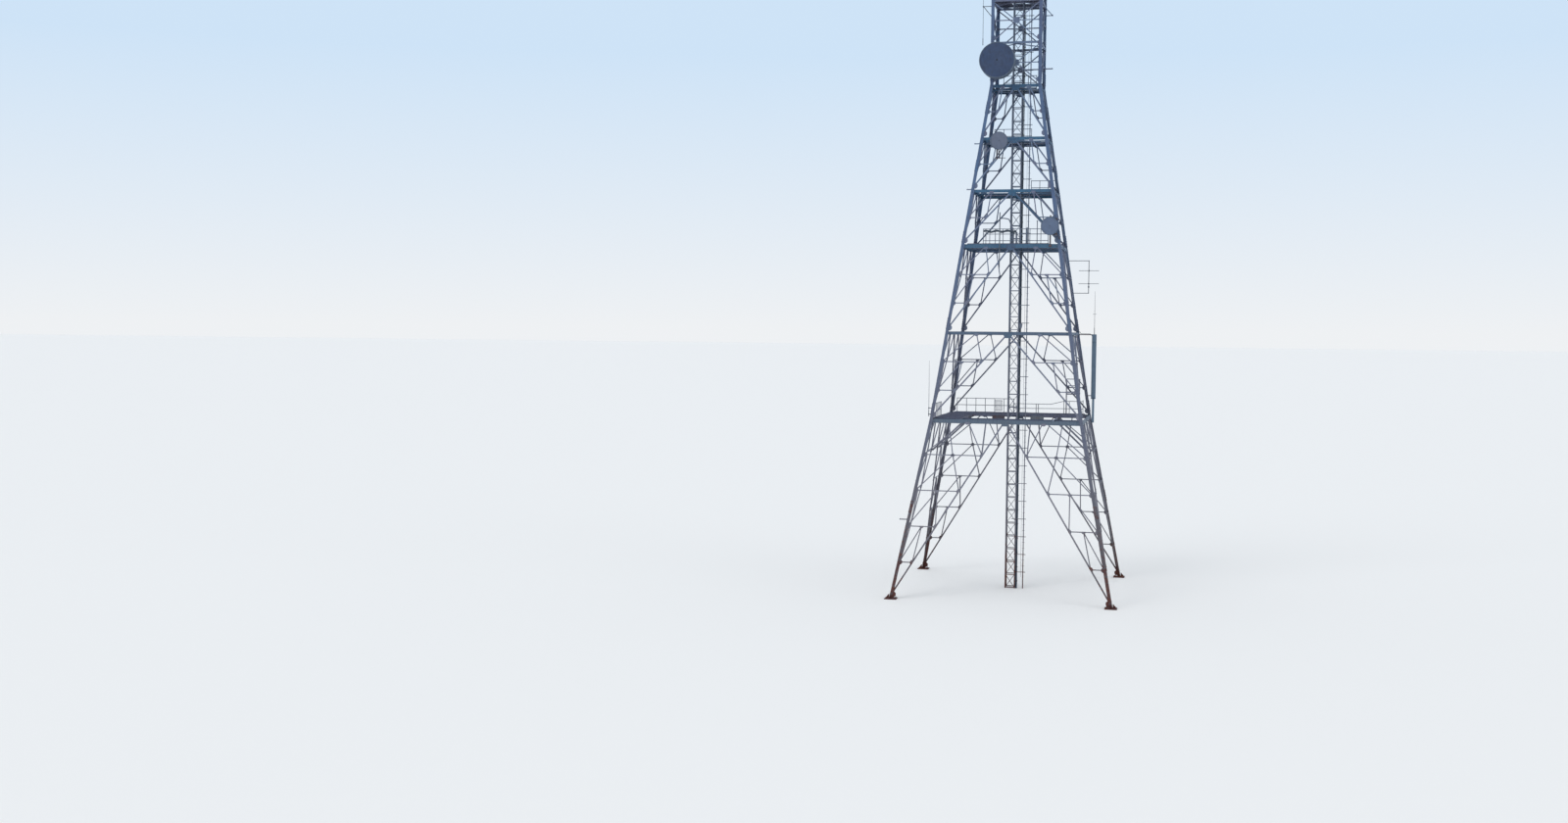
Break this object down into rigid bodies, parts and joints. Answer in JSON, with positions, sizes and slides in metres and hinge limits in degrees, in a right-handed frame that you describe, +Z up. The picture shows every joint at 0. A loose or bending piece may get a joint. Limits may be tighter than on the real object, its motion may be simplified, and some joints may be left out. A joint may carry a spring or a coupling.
{
  "type": "radio mast, scale model 1:2",
  "caption": "Square self-supporting lattice radio mast with K-braced leaning sides, work platforms, a cable column, dishes and antennas, at half scale.",
  "frame": {"origin": "centre of the base, on the ground", "axes": "+Z up, -Y is the side nearest the camera in the picture, +X to the right in it"},
  "size_m": [7.63, 7.63, 24.7],
  "materials": {
    "leg_steel": "weathered grey paint going to rust at the foot",
    "bracing_steel": "weathered grey paint going to rust at the foot",
    "beam_steel": "weathered blue-grey paint",
    "column_steel": "weathered blue-grey paint",
    "deck_steel": "dark, stained paint with rust",
    "rail_steel": "worn grey paint",
    "weathered_steel": "rusting steel",
    "cable_sheath": "black cable sheath",
    "dish_paint": "chalky grey paint",
    "antenna_casing": "pale weathered plastic",
    "antenna_rod": "dull metal"
  },
  "bodies": {
    "root": {"base_plates": "weathered_steel", "bracing_lower_east": "bracing_steel", "bracing_lower_north": "bracing_steel", "bracing_lower_south": "bracing_steel", "bracing_lower_west": "bracing_steel", "bracing_middle_east": "bracing_steel", "bracing_middle_north": "bracing_steel", "bracing_middle_south": "bracing_steel", "bracing_middle_west": "bracing_steel", "bracing_upper_east": "bracing_steel", "bracing_upper_north": "bracing_steel", "bracing_upper_south": "bracing_steel", "bracing_upper_west": "bracing_steel", "column": "column_steel", "column_ties": "column_steel", "dipole_frame": "antenna_rod", "dish_mounts": "weathered_steel", "drum_dish": "dish_paint", "feeder_run": "cable_sheath", "legs_lower": "leg_steel", "legs_middle": "leg_steel", "legs_upper": "leg_steel", "level_handrails": "rail_steel", "level_walkways": "deck_steel", "lightning_rod": "antenna_rod", "panel_antenna": "antenna_casing", "platform_1_deck": "deck_steel", "platform_1_girders": "deck_steel", "platform_1_handrails": "rail_steel", "platform_1_joists": "deck_steel", "platform_1_knees": "deck_steel", "platform_2_deck": "deck_steel", "platform_2_girders": "deck_steel", "platform_2_handrail": "rail_steel", "platform_2_joists": "deck_steel", "platform_3_deck": "deck_steel", "platform_3_girders": "deck_steel", "platform_3_handrails": "rail_steel", "rest_balcony": "deck_steel", "ring_beams_middle": "beam_steel", "ring_beams_platform_1": "beam_steel", "ring_beams_waist": "beam_steel", "small_dishes": "dish_paint", "step_pole": "column_steel", "whip_antennas": "antenna_rod"}
  },
  "joints": []
}
